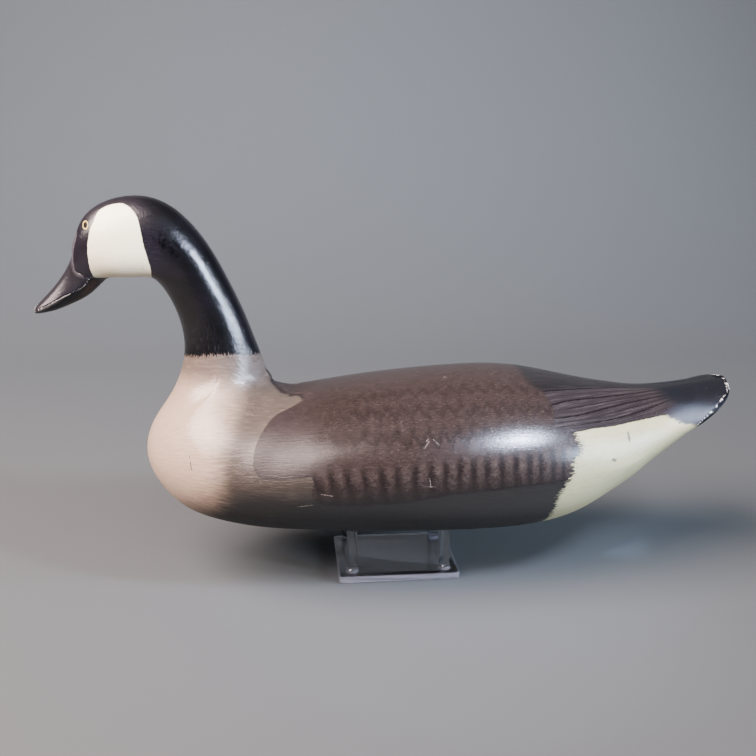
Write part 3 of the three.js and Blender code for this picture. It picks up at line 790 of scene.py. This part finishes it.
class DECOY_OT_goose(bpy.types.Operator):
    """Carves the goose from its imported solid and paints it"""

    bl_idname = "decoy.goose"
    bl_label = "Carved Goose"
    bl_options = {"REGISTER", "UNDO"}

    def execute(self, context):
        deselect()
        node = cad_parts["goose"]
        context.view_layer.objects.active = node
        node.select_set(True)
        bpy.ops.object.duplicate()
        goose = context.object
        goose.name = goose.data.name = "carved_goose"
        goose.data.materials.clear()

        bpy.ops.object.mode_set(mode="EDIT")
        bpy.ops.mesh.select_mode(type="VERT")
        bpy.ops.mesh.select_all(action="SELECT")
        bpy.ops.mesh.remove_doubles(threshold=0.01 * MM)
        bend = math.radians(60)
        bpy.ops.mesh.tris_convert_to_quads(face_threshold=bend, shape_threshold=bend)

        # the hollow at the foot of the neck is sanded smooth, but not the ridge along the middle
        hollow, reach, ridge = Vector((-0.140, 0.030, 0.196)), 0.030, 0.008

        def in_hollow(v):
            side = abs(v.co.y)
            return side > ridge and (Vector((v.co.x, side, v.co.z)) - hollow).length < reach

        choose(goose, "VERT", in_hollow)
        bpy.ops.mesh.vertices_smooth(factor=0.5, repeat=6)

        # so is the tail, from this far along, but not its rim
        tail_start, rim_width = 225, 5

        def on_tail(v):
            at = v.co / MM
            from_rim = tail_rim_distance(*(np.array([c]) for c in at))[0]
            return at.x > tail_start and abs(from_rim) > rim_width

        choose(goose, "VERT", on_tail)
        bpy.ops.mesh.vertices_smooth(factor=0.5, repeat=26)

        # the bill's gap and the tail's rim stay crisp
        bpy.ops.mesh.select_mode(type="EDGE")
        bpy.ops.mesh.select_all(action="DESELECT")
        bpy.ops.mesh.edges_select_sharp(sharpness=math.radians(40))
        bpy.ops.transform.edge_crease(value=0.75)
        bpy.ops.object.mode_set(mode="OBJECT")

        finish_modifier("SUBSURF", levels=2, render_levels=2)
        bpy.ops.object.shade_smooth_by_angle(angle=math.radians(55))
        if len(goose.data.vertices) < 10000:
            raise RuntimeError("the goose wasn't subdivided")
        fields = paint_places(goose)
        goose.data.materials.append(satin_paint(context.scene.goose_paint, fields))
        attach(goose, "root")
        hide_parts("goose")
        return {"FINISHED"}


class DECOY_OT_stand(bpy.types.Operator):
    """Makes the clear stand: a plate with rounded edges on which four tapered posts stand"""

    bl_idname = "decoy.stand"
    bl_label = "Clear Stand"
    bl_options = {"REGISTER", "UNDO"}

    def execute(self, context):
        sizes = context.scene.stand_sizes
        low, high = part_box("display_stand")
        middle = (low + high) / 2
        taper, top_round = MM, 0.6 * MM  # height over which a foot narrows, and round of a post's top

        deselect()
        bpy.ops.mesh.primitive_cube_add(
            size=1,
            location=(middle.x, middle.y, sizes.thickness / 2),
            scale=(sizes.length, sizes.width, sizes.thickness),
        )
        stand = context.object
        stand.name = stand.data.name = "clear_stand"
        bpy.ops.object.transform_apply(location=True, rotation=True, scale=True)
        bpy.ops.object.mode_set(mode="EDIT")
        choose(stand, "EDGE", lambda a, b: abs(a.z - b.z) > MM)
        bpy.ops.mesh.bevel(offset=sizes.corner, segments=8, affect="EDGES")
        for side in (1, -1):
            choose(stand, "FACE", lambda face: face.normal.z * side > FACING)
            bpy.ops.mesh.region_to_loop()
            bpy.ops.mesh.bevel(offset=sizes.edge, segments=3, affect="EDGES")
        bpy.ops.object.mode_set(mode="OBJECT")

        # one post, drawn up from its foot, then copied to the other three places
        deselect()
        sunk = sizes.thickness / 2
        across = (sizes.length / 2 - sizes.inset, sizes.width / 2 - sizes.inset)
        bpy.ops.mesh.primitive_cylinder_add(
            vertices=48,
            radius=sizes.foot / 2,
            depth=sunk + sizes.foot_height,
            location=(middle.x + across[0], middle.y + across[1], sunk + (sunk + sizes.foot_height) / 2),
        )
        post = context.object
        bpy.ops.object.transform_apply(location=True, rotation=True, scale=True)
        bpy.ops.object.mode_set(mode="EDIT")
        choose(post, "FACE", lambda face: face.normal.z > FACING)
        waist = (sizes.foot + sizes.top) / 2
        rest = sizes.post - sizes.foot_height - taper
        steps = ((taper, waist / sizes.foot), (rest, sizes.top / waist))
        for rise, shrink in steps:
            bpy.ops.mesh.extrude_region_move(TRANSFORM_OT_translate={"value": (0, 0, rise)})
            bpy.ops.transform.resize(value=(shrink, shrink, 1))
        bpy.ops.mesh.region_to_loop()
        bpy.ops.mesh.bevel(offset=top_round, segments=3, affect="EDGES")
        bpy.ops.object.mode_set(mode="OBJECT")
        posts = [post]
        for dx, dy in ((-2, 0), (0, -2), (-2, -2)):
            deselect()
            context.view_layer.objects.active = post
            post.select_set(True)
            bpy.ops.object.duplicate()
            bpy.ops.transform.translate(value=(dx * across[0], dy * across[1], 0))
            bpy.ops.object.transform_apply(location=True, rotation=True, scale=True)
            posts.append(context.object)

        for rod in posts:
            deselect()
            context.view_layer.objects.active = stand
            stand.select_set(True)
            finish_modifier("BOOLEAN", operation="UNION", solver="EXACT", object=rod)
            bpy.data.objects.remove(rod)
        bpy.ops.object.shade_smooth_by_angle(angle=math.radians(28))
        if len(stand.data.polygons) < 300:
            raise RuntimeError("the posts weren't joined to the plate")

        # the plate's edges and the feet of the posts are paler and milkier, a painted glow for the light
        # that they gather
        stand.data.materials.clear()
        for kind, colour, clear in (("sheet", "#F3F6F8", 1.0), ("edge", "#DFDDEC", 0.87)):
            stand.data.materials.append(clear_acrylic(kind, colour, clear))
        for face in stand.data.polygons:
            near_plate = face.center.z < sizes.thickness + sizes.foot_height
            level = abs(face.normal.z) >= 0.97
            face.material_index = int(near_plate and not level)
        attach(stand, "root")
        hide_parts("display_stand")
        return {"FINISHED"}


class DECOY_OT_studio(bpy.types.Operator):
    """Sets the pale floor, the soft lights and the camera"""

    bl_idname = "decoy.studio"
    bl_label = "Studio"
    bl_options = {"REGISTER", "UNDO"}

    def execute(self, context):
        look = context.scene.studio_look

        # the floor lies just under the plate, and its far edge is drawn up and rounded into a backdrop
        drop, floor_size, backdrop_rise, backdrop_bend = 0.3 * MM, (9, 4.4, 1), (0, 0.5, 3.5), 0.9
        deselect()
        bpy.ops.mesh.primitive_plane_add(size=1, location=(0, -0.4, -drop), scale=(1, 1, 1))
        floor = context.object
        floor.name = floor.data.name = "studio_floor"
        bpy.ops.object.mode_set(mode="EDIT")
        bpy.ops.transform.resize(value=floor_size)
        choose(floor, "EDGE", lambda a, b: min(a.y, b.y) > 1)
        bpy.ops.mesh.extrude_region_move(TRANSFORM_OT_translate={"value": backdrop_rise})
        choose(floor, "EDGE", lambda a, b: min(a.y, b.y) > 1 and max(a.z, b.z) < 0.1)
        bpy.ops.mesh.bevel(offset=backdrop_bend, segments=24, affect="EDGES")
        bpy.ops.object.mode_set(mode="OBJECT")
        bpy.ops.object.transform_apply(location=True, rotation=True, scale=True)
        bpy.ops.object.shade_smooth()
        floor.data.materials.append(matte_paper(look.floor))

        # each light: what it is aimed at, its compass from the camera's side and its height in degrees,
        # its distance, width and height in metres, watts, spread in degrees and colour
        middle, tail = Vector((-0.02, 0, 0.17)), Vector((0.286, -0.049, 0.161))
        lights = (
            ("left_softbox", middle, -62, 46, 1.9, 1.7, 1.4, 258, 180, "#FFE9E3"),
            ("right_softbox", middle, 42.2, 33.8, 0.638, 0.075, 0.11, 2.7, 80, "#D6E2FF"),
            ("neck_window", middle, 54, 11, 1.9, 0.3, 0.42, 34, 180, "#D0E2FF"),
            ("side_strip", middle, 71, 13, 1.9, 0.12, 0.14, 42, 180, "#DCE8FF"),
            ("tail_lamp", tail, 37, 62, 0.5, 0.05, 0.03, 0.016, 7, "#C8DAFF"),
        )
        for name, target, compass, height, distance, width, tall, power, spread, code in lights:
            turn, tilt = math.radians(compass), math.radians(height)
            level = math.cos(tilt)
            away = Vector((math.sin(turn) * level, -math.cos(turn) * level, math.sin(tilt)))
            aimed = away.to_track_quat("Z", "Y").to_euler()
            soft_light(name, target + away * distance, aimed, (width, tall), power, spread, code)

        # a strip over the backdrop lights only the paper behind
        over_paper, slant = (0.1, 1.05, 1.9), (math.radians(22), 0, 0)
        soft_light("backdrop_strip", over_paper, slant, (2.4, 0.3), 28, 100, "#DCE8FF")

        world = bpy.data.worlds.new("studio_air")
        context.scene.world = world
        world.use_nodes = True
        world.node_tree.nodes.clear()
        air = add_node(world.node_tree, "Background", ("#C4C8CC", look.ambient))
        add_node(world.node_tree, "OutputWorld", (air,))

        # camera: 14 degrees down, turned 5.6 degrees from straight across the bird
        place, turn, tilt = (-0.1066, -0.9331, 0.4233), math.radians(5.6), math.radians(14)
        aim = Vector((math.sin(turn) * math.cos(tilt), math.cos(turn) * math.cos(tilt), -math.sin(tilt)))
        bpy.ops.object.camera_add(location=place, rotation=aim.to_track_quat("-Z", "Y").to_euler())
        camera = context.object
        camera.name = camera.data.name = "studio_camera"
        camera.data.lens = 47.62
        camera.data.sensor_width = 36
        context.scene.camera = camera
        return {"FINISHED"}


class DECOY_PT_panel(bpy.types.Panel):
    """Lists the pieces and the studio"""

    bl_idname = "DECOY_PT_panel"
    bl_label = "Goose Decoy"
    bl_space_type = "VIEW_3D"
    bl_region_type = "UI"
    bl_category = "Decoy"

    def draw(self, context):
        for operator in OPERATORS:
            self.layout.operator(operator.bl_idname)
        for group in (context.scene.goose_paint, context.scene.stand_sizes, context.scene.studio_look):
            box = self.layout.box()
            for name in group.__annotations__:
                box.prop(group, name)


OPERATORS = (DECOY_OT_goose, DECOY_OT_stand, DECOY_OT_studio)
CLASSES = (GoosePaint, StandSizes, StudioLook, *OPERATORS, DECOY_PT_panel)


def register():
    for item in CLASSES:
        bpy.utils.register_class(item)
    bpy.types.Scene.goose_paint = bpy.props.PointerProperty(type=GoosePaint)
    bpy.types.Scene.stand_sizes = bpy.props.PointerProperty(type=StandSizes)
    bpy.types.Scene.studio_look = bpy.props.PointerProperty(type=StudioLook)


def unregister():
    del bpy.types.Scene.studio_look
    del bpy.types.Scene.stand_sizes
    del bpy.types.Scene.goose_paint
    for item in reversed(CLASSES):
        bpy.utils.unregister_class(item)


def main():
    register()
    bpy.ops.decoy.goose()
    bpy.ops.decoy.stand()
    bpy.ops.decoy.studio()


if __name__ == "__main__":
    main()
